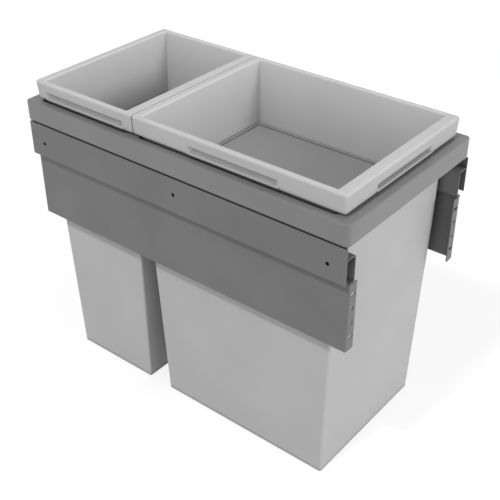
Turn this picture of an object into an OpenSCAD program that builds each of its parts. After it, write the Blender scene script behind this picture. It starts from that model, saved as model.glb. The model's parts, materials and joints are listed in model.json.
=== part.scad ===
// Pull-out waste bin frame for a narrow kitchen base cabinet: two moulded bins hang in a
// moulded ring, which stands on two bent steel side panels that run on ball runners.
// X is the width, the door is at -Y and +Z is up. The bins' undersides lie at Z 0, and the
// origin is in the middle of the unit's width and depth. Sizes are in millimetres.

/* [Cabinet fit] */
// Inside width of the cabinet, over the outer faces of the two cabinet rails
cabinet_w = 264; // [258:1:420]
// Depth of the unit, from the door face to the back of the ring
unit_l = 505; // [490:1:620]

/* [Cabinet rails] */
// Height of the flat rail that is screwed to the cabinet side
band_h = 46.4; // [44:0.1:58]
// Thickness of that rail
band_t = 1.2; // [1:0.1:1.6]
// How far the rail ends before the back of the ring
band_back_gap = 4; // [2:0.5:8]
// Gap between the rail's top edge and the ring
band_gap = 1.6; // [0.6:0.1:2.5]
// Diameter of the screw holes
screw_d = 5; // [4:0.5:6]
// Distance of the end screw holes from the rail's ends
screw_inset = 24.5; // [20:0.5:40]
// Height of the end screw holes above the rail's bottom edge
screw_rise = 19.9; // [12:0.1:24]
// How much higher the middle hole is than the end ones
mid_screw_lift = 4.6; // [0:0.1:6]
// How far the middle hole is towards the door from the rail's middle
mid_screw_shift = 3.4; // [0:0.1:12]

/* [Ball runners] */
// How far the middle and inner runner members end before the cabinet rail does
runner_back_gap = 8; // [7.5:0.5:40]
// How far the runner members lie behind the door face
runner_setback = 13; // [12:0.5:16]
// Height of the runner over its outer races
runner_h = 27; // [26:0.2:28]
// Thickness of the runner's steel
runner_t = 1.2; // [1:0.05:1.3]
// Diameter of the balls
ball_d = 3.2; // [3:0.05:3.3]
// Radial play of a ball in its race and in its cage
ball_play = 0.05; // [0.03:0.01:0.08]
// Length of a ball cage
cage_l = 190; // [120:2:200]
// Balls in one row of a cage
cage_balls = 8; // [4:1:10]
// Thickness of the cage strip
cage_t = 0.5; // [0.4:0.05:0.55]
// Length of the stop buffer in the back end of the outer member
buffer_l = 5.8; // [4:0.1:6.5]

/* [Side panels] */
// Thickness of the panels' sheet steel
sheet_t = 1.2; // [1:0.1:1.5]
// Depth of the runner pocket, inwards from the cabinet rail
pocket_d = 15; // [14.8:0.1:15.2]
// Height of the pocket over both walls
pocket_h = 35.2; // [35:0.1:40]
// How far the pocket's top lies below the ring's skirt
pocket_drop = 14.9; // [12:0.1:20]
// Free space under the runner in its pocket
runner_foot = 1.6; // [1:0.1:2]
// Height of the flat panel under the pocket
panel_h = 93.5; // [70:0.5:140]
// How far the flat panel lies inwards from the cabinet rail's outer face
panel_in = 8.7; // [8:0.1:9]
// How far the panels end before the back of the ring
panel_back_gap = 2.6; // [1:0.1:8]
// Inner radius of the sheet bends
bend_r = 1; // [0.6:0.1:1.5]
// Inner radius of the bend from the pocket to the flat panel
knee_r = 1.8; // [1:0.1:2.2]
// Running gap between the pocket's top wall and the cabinet rail
edge_gap = 0.6; // [0.4:0.1:1]
// Width of the flange that carries the door
flange_w = 14.5; // [14:0.1:20]
// Distance of the flange's holes from the panel's outer face
flange_hole_in = 8.3; // [7:0.1:9]
// Distance between the two slots in a flange
slot_pitch = 58.8; // [45:0.2:70]
// Distance between the two round holes in a flange
door_hole_pitch = 21; // [12:0.2:30]
// Diameter of the round holes, and width of the slots
door_hole_d = 4.2; // [3:0.1:5]
// Length of a slot
slot_l = 8.4; // [6:0.1:10]

/* [Back rail] */
// Height of the back rail that joins the two panels
back_rail_h = 60; // [40:1:80]
// Depth of the back rail's folded edges
back_rail_d = 9; // [6:0.5:12]
// Diameter of its rivets
rivet_d = 4; // [3:0.2:5]
// Distance between the two rivets in a panel
rivet_pitch = 36; // [20:1:44]

/* [Ring] */
// Gap between the ring and the outer faces of the cabinet rails, on each side
ring_gap = 0.8; // [0.6:0.1:2]
// How far the ring lies behind the door face
ring_setback = 0; // [0:0.1:4]
// Height of the ring's skirt
ring_h = 27.5; // [22:0.1:34]
// Wall thickness of the ring
ring_t = 2.5; // [2:0.1:3]
// Radius of the ring's corners, seen from above
ring_r = 5; // [5:0.5:14]
// Radius of the ring's upper edge
ring_edge_r = 2.6; // [2.6:0.1:4]
// Height of the lip that hangs down round each bin's opening
lip_h = 10; // [5:0.5:14]
// Gap between a bin's front and back walls and its opening
bin_gap = 1.5; // [1:0.1:2]
// How far the openings' side edges lie inside the rims' lower edges
side_in = 0.4; // [0.2:0.1:1]
// Gap between a bin's rim and the stand that carries it
seat_gap = 0.3; // [0.2:0.05:0.4]
// Thickness of the stands that carry the bins' rims
stand_t = 2.5; // [2:0.1:3]
// Length of a foot of the ring along the panel
foot_l = 14; // [10:0.5:20]
// Distance of the first and last foot from the ring's ends
foot_inset = 55; // [40:1:90]

/* [Bins] */
// Height of both bins
bin_h = 425; // [400:0.2:520]
// Height of the rim's skirt
rim_h = 23.8; // [22:0.1:32]
// Gap between the rim's skirt and the ring's deck
rim_gap = 3.2; // [0.6:0.1:4]
// Deck that shows beside the rims
deck_side = 11.6; // [8:0.1:20]
// Deck that shows before and behind the rims
deck_end = 13.1; // [10:0.1:24]
// Length of the small bin's rim
small_rim_l = 171.7; // [150:0.5:230]
// Gap between the two rims
split_gap = 0.7; // [0.5:0.1:1.5]
// Thickness of the rim
rim_t = 2; // [1.6:0.1:2.2]
// How far the rim's skirt leans out towards its top
rim_draft = 1.4; // [0.4:0.1:2]
// Radius of the rim's upper edge
rim_edge_r = 3.2; // [1.5:0.1:4]
// Radius of the rim's outer corners, seen from above
rim_r = 4; // [3.6:0.2:7]
// Wall thickness of the bins
wall_t = 2.2; // [1.6:0.1:2.6]
// Thickness of the bins' floors
floor_t = 2.5; // [2:0.1:4]
// How far the rim stands out beyond the wall at the sides
side_hang = 4; // [3.8:0.1:5]
// How far the rim stands out beyond the front wall
front_hang = 12.3; // [11.5:0.1:14]
// How far the rim stands out beyond the back wall
back_hang = 8.1; // [7.8:0.1:9]
// Height at which the walls start to lean in more towards the floor
waist_z = 270; // [200:5:300]
// How far the side walls lean in from the rim to that height
side_waist = 4.3; // [2:0.1:6]
// How far the front walls lean in from the rim to that height
front_waist = 1.3; // [0.5:0.1:4]
// How far the side walls lean in below that height
side_draft = 4.4; // [2:0.1:8]
// How far the large bin's front wall leans in below that height
large_front_draft = 8.9; // [4:0.1:12]
// How far the large bin's back wall leans in below that height
large_back_draft = 12.8; // [4:0.1:16]
// How far the small bin's front wall leans in below that height
small_front_draft = 2.5; // [1:0.1:8]
// How far the small bin's back wall leans in below that height
small_back_draft = 10.2; // [4:0.1:16]
// Radius of the bins' upright corners
body_r = 3; // [2.6:0.2:10]
// Radius of the bins' lower edges
base_r = 1; // [0.6:0.1:2]

/* [Finger recesses] */
// Length of the recess in the small bin's sides
small_grip_l = 139.6; // [100:0.2:140]
// Length of the recess in the large bin's sides
large_grip_l = 133; // [100:0.2:180]
// Length of the recess in the rim's end
end_grip_l = 119; // [80:0.5:160]
// Height of the recess's upper edge above the skirt's lower edge
grip_top = 10.8; // [9:0.1:13]
// Height of the recess's back wall above the skirt's lower edge
grip_back = 4.3; // [4:0.1:7]
// Height of the lip's upper edge above the skirt's lower edge
grip_lip = 3; // [2.5:0.1:3.8]
// How far the lip stands proud of the skirt
lip_out = 0.8; // [0.3:0.1:1]
// Depth of the recess in the sides
side_grip_d = 2.4; // [2:0.1:3]
// Depth of the recess in the ends
end_grip_d = 2.8; // [2:0.1:5]
// How far the recess's ends slope
grip_flare = 7.5; // [2:0.5:10]

/* [Drop-in lids] */
// Depth of the lid's border below the bin's rim
lid_drop = 91; // [70:1:140]
// Gap between a lid and the bin's walls
lid_gap = 0.7; // [0.4:0.1:1.2]
// Thickness of a lid's plate
lid_t = 3; // [2.4:0.1:4]
// Width of the lid's raised border
border_w = 5; // [4:0.1:7]
// How far the border stands above the plate
border_h = 1; // [0.6:0.1:1.6]
// Width of the groove inside the border
groove_w = 1.8; // [1.2:0.1:3]
// Depth of that groove
groove_d = 1.4; // [0.8:0.1:1.8]
// Radius of the finger notch
notch_r = 13; // [10:0.5:18]
// Length of a lug that carries the lid
lug_l = 16; // [10:1:24]
// How far a lug stands out from the wall
lug_d = 6; // [4:0.2:8]
// Height of a lug
lug_h = 9; // [6:0.5:14]

/* [Hidden] */
$fn = 64;
slim = 0.01;
over = 1;
corner_steps = 8;
steel = [0.46, 0.47, 0.48];
zinc = [0.72, 0.73, 0.74];
ring_grey = [0.50, 0.50, 0.51];
bin_grey = [0.74, 0.74, 0.74];
lid_grey = [0.62, 0.62, 0.62];
rubber = [0.13, 0.13, 0.14];

// Depth positions: the door face is the front, the back of the ring is the back.
front = -unit_l / 2;
back = unit_l / 2;
ring_front = front + ring_setback;
band_l = unit_l - band_back_gap;
runner_l = band_l - runner_setback - runner_back_gap;
panel_back = back - panel_back_gap;

// Width positions, measured from the middle plane.
band_in = cabinet_w / 2 - band_t;
pocket_x = band_in - pocket_d;
panel_x = cabinet_w / 2 - panel_in;
ring_x = cabinet_w / 2 - ring_gap;
rim_x = ring_x - deck_side;

// Heights, from the top of the bins down.
skirt_z = bin_h - rim_h;
rim_under = bin_h - rim_t;
deck_z = skirt_z - rim_gap;
ring_z = deck_z - ring_h;
band_z = ring_z - band_gap - band_h;
pocket_top = ring_z - pocket_drop;
pocket_z = pocket_top - pocket_h;
panel_z = pocket_z - panel_h;
flange_top = pocket_z - bend_r;

// Screw holes of the cabinet rail, as depth and height.
screw_z = band_z + screw_rise;
screws = [
    [front + screw_inset, screw_z],
    [front + band_l / 2 - mid_screw_shift, screw_z + mid_screw_lift],
    [front + band_l - screw_inset, screw_z]
];

// Runner section, as u inwards from the cabinet rail and v up or down from the runner's middle.
runner_z = pocket_z + sheet_t + runner_foot + runner_h / 2;
runner_y = front + runner_setback;
race_r = ball_d / 2 + ball_play;
race_out = race_r + runner_t;
plane = 0.58 * race_r;
chord = sqrt(race_r * race_r - plane * plane);
race_lip = chord + 0.9;
web_gap = 1.2;
form_r = 1;
mid_u = runner_t + web_gap;
outer_v = runner_h / 2 - race_out;
inner_v = outer_v - runner_t - 2 * plane;
outer_u = mid_u + runner_t + race_out - 0.85;
inner_u = outer_u + race_out + chord - 0.9;
cage_u = runner_t + (web_gap - cage_t) / 2;
inner_cage_u = mid_u + runner_t + 0.5;
cage_half = 2.2;
ball_pitch = (cage_l - 20) / (cage_balls - 1);
buffer_gap = 0.3;
outer_l = runner_l + buffer_gap + buffer_l + 0.4;

// Each bin is the front and back of its rim, and how far its front and back walls lean in.
rims_front = ring_front + deck_end;
rims_back = back - deck_end;
split_y = rims_back - small_rim_l - split_gap / 2;
large = [rims_front, split_y - split_gap / 2, large_front_draft, large_back_draft];
small = [split_y + split_gap / 2, rims_back, small_front_draft, small_back_draft];
split_r = 1.2;
split_edge_r = 0.8;
mouth_r = wall_t - 0.2;
pad_t = 1.2;

// Outer faces of a bin's walls at a height. They lean a little down to the waist, then more.
function lean(z, a, b) = z > waist_z
    ? a * (rim_under - z) / (rim_under - waist_z)
    : a + b * (1 - z / waist_z);
function wall_x(z) = rim_x - side_hang - lean(z, side_waist, side_draft);
function wall_front(bin, z) = bin[0] + front_hang + lean(z, front_waist, bin[2]);
function wall_back(bin, z) = bin[1] - back_hang - lean(z, 0, bin[3]);

// Lids.
lid_top = bin_h - lid_drop;
lid_z = lid_top - border_h - lid_t;
lug_z = lid_z - seat_gap - lug_h;

// Feet of the ring.
foot_w = 8;
foot_x = pocket_x + bend_r + 2.9;
gusset_d = 2;
tongue_w = 2.8;
tongue_gap = 0.2;
nose_h = 1.5;
feet = [for (k = [0:3]) ring_front + foot_inset + k * (back - ring_front - 2 * foot_inset) / 3];

// The outline of an upright rectangle as points, x wide on each side, with its own corner
// radius at the front and back. The corners are short straight steps.
function turn(x, y, r, start) = [
    for (k = [0:corner_steps])
        let (a = start + 90 * k / corner_steps)
            [x + r * cos(a), y + r * sin(a)]
];
function corners(x, y0, y1, rf, rb) = concat(
    turn(x - rb, y1 - rb, rb, 0),
    turn(rb - x, y1 - rb, rb, 90),
    turn(rf - x, y0 + rf, rf, 180),
    turn(x - rf, y0 + rf, rf, 270)
);

// How far a rounded upper edge is drawn in at a height.
function crown(z, top, r) = z > top - r ? r - sqrt(r * r - pow(z - top + r, 2)) : 0;

// A solid through a stack of outlines. Each outline is its points and its height.
module stack(layers) {
    n = len(layers[0][0]);
    top = len(layers) - 1;
    polyhedron(
        points = [for (e = layers) for (p = e[0]) [p[0], p[1], e[1]]],
        faces = concat(
            [[for (k = [0:n - 1]) k]],
            [[for (k = [0:n - 1]) top * n + n - 1 - k]],
            [
                for (j = [0:top - 1])
                    for (k = [0:n - 1])
                        [j * n + k, (j + 1) * n + k, (j + 1) * n + (k + 1) % n, j * n + (k + 1) % n]
            ]
        )
    );
}

// A profile drawn in width and height, carried from one depth to another.
module along(y0, y1) {
    translate([0, y1, 0])
        rotate([90, 0, 0])
            linear_extrude(y1 - y0)
                children();
}

// A runner profile drawn in u and v, for the right-hand runner.
module runner(y0, l) {
    translate([band_in, y0, runner_z])
        rotate([90, 0, 180])
            linear_extrude(l)
                for (s = [0, 1])
                    mirror([0, s])
                        children();
}

// A quarter of a bent sheet round a centre, in the quadrant that starts at an angle.
module bend(r, t, start) {
    intersection() {
        difference() {
            circle(r + t);
            circle(r);
        }
        rotate(start)
            square(r + t + over);
    }
}

// The formed bulge behind a ball race, on the side of the race that s gives.
module race(u, v, s) {
    translate([u, v])
        intersection() {
            circle(race_out);
            translate([-race_out, s > 0 ? plane : -plane - race_out])
                square([2 * race_out, race_out]);
        }
}

module race_cut(u, v) {
    translate([u, v])
        circle(race_r);
}

// Screw holes through the right-hand rail.
module screw_holes(d) {
    for (s = screws)
        translate([band_in - over - runner_t, s[0], s[1]])
            rotate([0, 90, 0])
                cylinder(d = d, h = band_t + runner_t + 2 * over);
}

module cabinet_rail() {
    color(steel)
        difference() {
            translate([band_in, front, band_z])
                cube([band_t, band_l, band_h]);
            screw_holes(screw_d);
        }
}

module outer_section() {
    top = outer_v + plane;
    difference() {
        union() {
            square([runner_t, top - form_r]);
            translate([runner_t + form_r, top - form_r])
                bend(form_r, runner_t, 90);
            translate([runner_t + form_r, top])
                square([outer_u + race_lip - runner_t - form_r, runner_t]);
            race(outer_u, outer_v, 1);
        }
        race_cut(outer_u, outer_v);
    }
}

module outer_runner() {
    color(zinc)
        difference() {
            runner(runner_y, outer_l)
                outer_section();
            screw_holes(2 * screw_d);
            translate([band_in - over - runner_t, runner_y + outer_l - buffer_l / 2, runner_z])
                rotate([0, 90, 0])
                    cylinder(d = 3.2, h = runner_t + 2 * over);
        }
}

// The buffer is pegged into the web of the outer member, behind the two moving members.
module stop_buffer() {
    w = inner_u + race_lip - runner_t;
    h = 2 * (inner_v - plane);
    peg_y = runner_y + outer_l - buffer_l / 2;
    color(rubber) {
        translate([band_in - runner_t - w, peg_y - buffer_l / 2 - 0.2, runner_z - h / 2])
            cube([w, buffer_l, h]);
        translate([band_in - runner_t - slim, peg_y, runner_z])
            rotate([0, 90, 0])
                cylinder(d = 3, h = runner_t + slim);
    }
}

module middle_section() {
    top = outer_v - plane;
    difference() {
        union() {
            translate([mid_u, 0])
                square([runner_t, top - runner_t - form_r]);
            translate([mid_u + runner_t + form_r, top - runner_t - form_r])
                bend(form_r, runner_t, 90);
            translate([mid_u + runner_t + form_r, top - runner_t])
                square([inner_u + race_lip - mid_u - runner_t - form_r, runner_t]);
            race(outer_u, outer_v, -1);
            race(inner_u, inner_v, 1);
        }
        race_cut(outer_u, outer_v);
        race_cut(inner_u, inner_v);
    }
}

module middle_runner() {
    color(zinc)
        runner(runner_y, runner_l)
            middle_section();
}

module inner_section() {
    top = inner_v - plane;
    difference() {
        union() {
            translate([pocket_d - runner_t, 0])
                square([runner_t, top - runner_t - form_r]);
            translate([pocket_d - runner_t - form_r, top - runner_t - form_r])
                bend(form_r, runner_t, 0);
            translate([inner_u - race_lip, top - runner_t])
                square([pocket_d - runner_t - form_r - inner_u + race_lip, runner_t]);
            race(inner_u, inner_v, -1);
        }
        race_cut(inner_u, inner_v);
    }
}

module inner_runner() {
    color(zinc)
        runner(runner_y, runner_l)
            inner_section();
}

// Places of the balls of one cage, as depth and as s for the upper or lower row.
module each_ball(u, v) {
    for (k = [0:cage_balls - 1])
        for (s = [-1, 1])
            translate([
                band_in - u,
                runner_y + runner_l / 2 + (k - (cage_balls - 1) / 2) * ball_pitch,
                runner_z + s * v
            ])
                children();
}

// A cage is a thin channel: a web and two strips that hold the balls.
module cage(u, v, web_u, low) {
    color(zinc)
        difference() {
            runner(runner_y + (runner_l - cage_l) / 2, cage_l) {
                translate([web_u, 0])
                    square([cage_t, v - low + slim]);
                translate([web_u, v - low])
                    square([u + cage_half - web_u, cage_t]);
            }
            each_ball(u, v)
                cylinder(r = race_r, h = 4 * cage_t, center = true);
        }
}

module balls(u, v) {
    color(zinc)
        each_ball(u, v)
            sphere(d = ball_d);
}

// Section of a side panel: the pocket's three walls, the knee and the flat panel.
module pocket_section() {
    bottom = pocket_z + sheet_t;
    bend_x = pocket_x + bend_r;
    knee_x = panel_x - sheet_t - knee_r;
    translate([bend_x, pocket_top - sheet_t])
        square([band_in - edge_gap - bend_x, sheet_t]);
    translate([bend_x, pocket_top - sheet_t - bend_r])
        bend(bend_r, sheet_t, 90);
    translate([pocket_x - sheet_t, bottom + bend_r])
        square([sheet_t, pocket_h - 2 * (sheet_t + bend_r)]);
    translate([bend_x, bottom + bend_r])
        bend(bend_r, sheet_t, 180);
    translate([bend_x, pocket_z])
        square([knee_x - bend_x, sheet_t]);
    translate([knee_x, pocket_z - knee_r])
        bend(knee_r, sheet_t, 0);
}

// Outline of a flange in width and height, with its free lower corner cut off.
module flange_outline(z0, z1, cut) {
    polygon([
        [panel_x - sheet_t - bend_r, z0],
        [panel_x - sheet_t - bend_r, z1],
        [panel_x - flange_w, z1],
        [panel_x - flange_w, z0 + cut],
        [panel_x - flange_w + cut, z0]
    ]);
}

// The flange's bend, seen from above; s is -1 at the door end and 1 at the back end.
module flange_bend(y, z0, z1, s) {
    translate([panel_x - sheet_t - bend_r, y - s * (sheet_t + bend_r), z0])
        linear_extrude(z1 - z0)
            bend(bend_r, sheet_t, s > 0 ? 0 : 270);
}

// Holes along the depth through a flange.
module flange_hole(y, z, d) {
    translate([panel_x - flange_hole_in, y, z])
        rotate([90, 0, 0])
            cylinder(d = d, h = 4 * sheet_t, center = true);
}

door_z = (flange_top + panel_z) / 2 + 1.6;
back_rail_z = (flange_top + panel_z) / 2;

module door_slot(z) {
    run = (slot_l - door_hole_d) / 2;
    for (s = [-1, 1])
        translate([s * run, 0, 0])
            flange_hole(front, z, door_hole_d);
    translate([panel_x - flange_hole_in - run, front - over, z - door_hole_d / 2])
        cube([2 * run, sheet_t + 2 * over, door_hole_d]);
}

module side_panel() {
    turn = sheet_t + bend_r;
    flange_cut = 1.2;
    color(steel)
        difference() {
            union() {
                along(front, panel_back)
                    pocket_section();
                translate([panel_x - sheet_t, front + turn, panel_z])
                    cube([sheet_t, panel_back - front - 2 * turn, pocket_z - knee_r - panel_z]);
                flange_bend(front, panel_z, flange_top, -1);
                along(front, front + sheet_t)
                    flange_outline(panel_z, flange_top, flange_cut);
                flange_bend(panel_back, panel_z, flange_top, 1);
                along(panel_back - sheet_t, panel_back)
                    flange_outline(panel_z, flange_top, flange_cut);
            }
            for (s = [-1, 1]) {
                door_slot(door_z + s * slot_pitch / 2);
                flange_hole(front, door_z + s * door_hole_pitch / 2, door_hole_d);
                flange_hole(panel_back, back_rail_z + s * rivet_pitch / 2, rivet_d + 0.1);
            }
            for (y = feet)
                translate([
                    foot_x + foot_w - tongue_w - tongue_gap,
                    y - foot_l / 2 - tongue_gap,
                    pocket_top - sheet_t - over
                ])
                    cube([tongue_w + 2 * tongue_gap, foot_l + 2 * tongue_gap, sheet_t + 2 * over]);
        }
}

// The back rail is a channel whose ends lie on the inner faces of the panels' back flanges.
module back_rail() {
    y1 = panel_back - sheet_t;
    x = panel_x - sheet_t - bend_r;
    z0 = back_rail_z - back_rail_h / 2;
    color(steel)
        difference() {
            union() {
                translate([-x, y1 - sheet_t, z0])
                    cube([2 * x, sheet_t, back_rail_h]);
                for (z = [z0, z0 + back_rail_h - sheet_t])
                    translate([flange_w - x, y1 - back_rail_d, z])
                        cube([2 * (x - flange_w), back_rail_d, sheet_t]);
            }
            for (m = [0, 1])
                mirror([m, 0, 0])
                    for (s = [-1, 1])
                        flange_hole(y1, back_rail_z + s * rivet_pitch / 2, rivet_d + 0.1);
        }
}

module back_rail_rivets() {
    head = 1.3;
    tail = 2.2;
    color(zinc)
        for (m = [0, 1])
            mirror([m, 0, 0])
                for (s = [-1, 1])
                    translate([
                        panel_x - flange_hole_in,
                        panel_back,
                        back_rail_z + s * rivet_pitch / 2
                    ])
                        rotate([90, 0, 0]) {
                            translate([0, 0, -head])
                                cylinder(d1 = 1.4 * rivet_d, d2 = 2 * rivet_d, h = head);
                            translate([0, 0, -slim])
                                cylinder(d = rivet_d, h = 2 * sheet_t + 2 * slim);
                            translate([0, 0, 2 * sheet_t])
                                cylinder(d = 1.4 * rivet_d, h = tail);
                        }
}

// The ring's outer block, with a rounded upper edge.
module ring_block() {
    stack(concat(
        [[corners(ring_x, ring_front, back, ring_r, ring_r), ring_z]],
        [
            for (k = [0:5])
                let (z = deck_z - ring_edge_r * (1 - sin(18 * k)), g = crown(z, deck_z, ring_edge_r))
                    [corners(ring_x - g, ring_front + g, back - g, ring_r - g, ring_r - g), z]
        ]
    ));
}

// The hollow under the ring's deck.
module ring_hollow() {
    r = ring_r - ring_t;
    translate([0, 0, ring_z - over])
        linear_extrude(deck_z - ring_t - ring_z + over)
            polygon(corners(ring_x - ring_t, ring_front + ring_t, back - ring_t, r, r));
}

// The opening for one bin, wider by g.
module bin_hole(bin, g) {
    r = body_r + bin_gap + g;
    polygon(corners(
        rim_x - side_in + g,
        wall_front(bin, deck_z) - bin_gap - g,
        wall_back(bin, deck_z) + bin_gap + g,
        r,
        r
    ));
}

// Stands at the front and back of an opening, on which the bin's rim hangs. They leave the
// middle free for the finger recess.
module stands(bin) {
    x0 = end_grip_l / 2 + 5;
    x1 = wall_x(deck_z) - body_r - 4;
    h = rim_under - seat_gap - deck_z;
    yf = wall_front(bin, deck_z) - bin_gap;
    yb = wall_back(bin, deck_z) + bin_gap;
    for (m = [0, 1])
        mirror([m, 0, 0])
            for (e = [[yf, -1], [yb, 1]]) {
                translate([x0, e[0] + (e[1] - 1) * stand_t / 2, deck_z - slim])
                    cube([x1 - x0, stand_t, h + slim]);
                for (x = [x0 + 6, x1 - 6])
                    translate([x - 0.8, e[0] + e[1] * (stand_t - slim), deck_z - slim])
                        rotate([90, 0, 90])
                            linear_extrude(1.6)
                                polygon([[0, 0], [0, 0.7 * h], [e[1] * gusset_d, 0]]);
            }
}

// A foot stands on the pocket's top wall and its tongue hooks under that wall.
module ring_foot(y) {
    x1 = foot_x + foot_w;
    translate([foot_x, y - foot_l / 2, pocket_top])
        cube([foot_w, foot_l, deck_z - ring_t - pocket_top + slim]);
    translate([x1 - tongue_w, y - foot_l / 2, pocket_top - sheet_t - nose_h])
        cube([tongue_w, foot_l, sheet_t + nose_h + slim]);
    along(y - foot_l / 2, y + foot_l / 2)
        polygon([
            [x1 - tongue_w + slim, pocket_top - sheet_t],
            [x1 - tongue_w - 1.2, pocket_top - sheet_t],
            [x1 - tongue_w + slim, pocket_top - sheet_t - nose_h]
        ]);
}

module ring_frame() {
    rib_pitch = 40;
    ribs = floor((back - ring_front - 44) / rib_pitch);
    color(ring_grey)
        difference() {
            union() {
                difference() {
                    ring_block();
                    ring_hollow();
                }
                translate([0, 0, deck_z - lip_h])
                    linear_extrude(lip_h - ring_t + slim)
                        for (bin = [large, small])
                            bin_hole(bin, ring_t);
                for (m = [0, 1])
                    mirror([m, 0, 0]) {
                        for (k = [0:ribs])
                            translate([rim_x, ring_front + 22 + k * rib_pitch, deck_z - lip_h])
                                cube([ring_x - ring_t - rim_x + slim, 1.8, lip_h - ring_t + slim]);
                        for (y = feet)
                            ring_foot(y);
                    }
                for (bin = [large, small])
                    stands(bin);
            }
            translate([0, 0, deck_z - lip_h - over])
                linear_extrude(lip_h + 2 * over)
                    for (bin = [large, small])
                        bin_hole(bin, 0);
        }
}

// The outline of a bin's body at a height, drawn in from its outer faces.
function layer(bin, z, inset) = [
    corners(
        wall_x(z) - inset,
        wall_front(bin, z) + inset,
        wall_back(bin, z) - inset,
        max(body_r - inset, 1),
        max(body_r - inset, 1)
    ),
    z
];

// Outline of a rim at a height. The outer faces lean out, those at the split stay upright and
// keep small radii. The first inset is for the outer faces and the second for the split.
function rim_layer(bin, end, z, inset, split_inset) =
    let (
        out = rim_draft * (z - skirt_z) / rim_h - inset,
        front_out = end < 0 ? out : -split_inset,
        back_out = end > 0 ? out : -split_inset,
        outer_r = max(rim_r - inset, 0.4),
        inner_r = max(split_r - split_inset, 0.4)
    )
    [
        corners(
            rim_x + out,
            bin[0] - front_out,
            bin[1] + back_out,
            end < 0 ? outer_r : inner_r,
            end > 0 ? outer_r : inner_r
        ),
        z
    ];

// The full block of a rim, and the hollow under it.
module rim_block(bin, end) {
    stack(concat(
        [rim_layer(bin, end, skirt_z, 0, 0)],
        [
            for (k = [0:5])
                let (z = bin_h - rim_edge_r * (1 - sin(18 * k)))
                    rim_layer(bin, end, z, crown(z, bin_h, rim_edge_r), crown(z, bin_h, split_edge_r))
        ]
    ));
}

module rim_hollow(bin, end) {
    stack([
        rim_layer(bin, end, skirt_z - over, rim_t, rim_t),
        rim_layer(bin, end, rim_under, rim_t, rim_t)
    ]);
}

// A finger recess in a rim. It is drawn for a face at y 0 that looks towards -Y.
module grip_cut(l, d) {
    intersection() {
        rotate([90, 0, 90])
            translate([0, 0, -l])
                linear_extrude(2 * l)
                    polygon([
                        [-2, grip_top],
                        [d, grip_top],
                        [d, grip_back],
                        [-lip_out, grip_lip],
                        [-2, grip_lip]
                    ]);
        linear_extrude(rim_h)
            polygon([
                [-l / 2, -2],
                [-l / 2, 0],
                [grip_flare - l / 2, d],
                [l / 2 - grip_flare, d],
                [l / 2, 0],
                [l / 2, -2]
            ]);
    }
}

module grip_lip_bar(l) {
    translate([-l / 2, -lip_out, 0])
        cube([l, lip_out + rim_t, grip_lip]);
}

// The block behind a recess, from inside the skirt to a depth.
module grip_pad(l, d) {
    translate([-l / 2 - 2, 0.6, 0])
        cube([l + 4, d - 0.6, grip_top + 1.6]);
}

// Carries a grip to the two side faces and to one end of a rim; end is -1 or 1.
module at_grips(bin, end, side_l) {
    y = (bin[0] + bin[1]) / 2;
    translate([0, 0, skirt_z]) {
        translate([rim_x, y, 0])
            rotate([0, 0, 90])
                children(0);
        translate([-rim_x, y, 0])
            rotate([0, 0, -90])
                children(0);
        translate([0, end < 0 ? bin[0] : bin[1], 0])
            rotate([0, 0, end < 0 ? 0 : 180])
                children(1);
    }
}

// Lugs inside the walls that carry the drop-in lid.
module lugs(bin) {
    x = wall_x(lug_z) - wall_t + 0.3;
    yf = wall_front(bin, lug_z) + wall_t - 0.3;
    yb = wall_back(bin, lug_z) - wall_t + 0.3;
    module lug() {
        rotate([90, 0, 0])
            translate([0, 0, -lug_l / 2])
                linear_extrude(lug_l)
                    polygon([[0, 0], [0, lug_h], [-lug_d, lug_h]]);
    }
    for (t = [0.2, 0.8])
        for (m = [0, 1])
            mirror([m, 0, 0])
                translate([x, yf + t * (yb - yf), lug_z])
                    lug();
    for (s = [-1, 1]) {
        translate([s * x / 2, yb, lug_z])
            rotate([0, 0, 90])
                lug();
        translate([s * x / 2, yf, lug_z])
            rotate([0, 0, -90])
                lug();
    }
}

module bin(bin, end, side_l) {
    color(bin_grey)
        difference() {
            union() {
                difference() {
                    rim_block(bin, end);
                    rim_hollow(bin, end);
                }
                stack([
                    layer(bin, 0, base_r),
                    layer(bin, 0.3 * base_r, 0.3 * base_r),
                    layer(bin, base_r, 0),
                    layer(bin, waist_z, 0),
                    layer(bin, rim_under + 0.5, 0)
                ]);
                at_grips(bin, end, side_l) {
                    grip_pad(side_l, side_hang + 1);
                    grip_pad(end_grip_l, end_grip_d + pad_t);
                }
                at_grips(bin, end, side_l) {
                    grip_lip_bar(side_l);
                    grip_lip_bar(end_grip_l);
                }
            }
            at_grips(bin, end, side_l) {
                grip_cut(side_l, side_grip_d);
                grip_cut(end_grip_l, end_grip_d);
            }
            difference() {
                stack([
                    layer(bin, floor_t, wall_t + base_r),
                    layer(bin, floor_t + 0.3 * base_r, wall_t + 0.3 * base_r),
                    layer(bin, floor_t + base_r, wall_t),
                    layer(bin, waist_z, wall_t),
                    layer(bin, bin_h - mouth_r, wall_t),
                    layer(bin, bin_h - 0.5 * mouth_r, wall_t - 0.13 * mouth_r),
                    layer(bin, bin_h - 0.13 * mouth_r, wall_t - 0.5 * mouth_r),
                    layer(bin, bin_h, wall_t - mouth_r),
                    layer(bin, bin_h + over, wall_t - mouth_r)
                ]);
                lugs(bin);
            }
            translate([0, 0, -over])
                linear_extrude(over + 1)
                    polygon(layer(bin, 0, base_r + 6)[0]);
        }
}

// Outline of a lid that clears the bin's walls at its lower face, drawn in by g.
module lid_outline(bin, g) {
    polygon(layer(bin, lid_z, wall_t + lid_gap + g)[0]);
}

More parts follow.
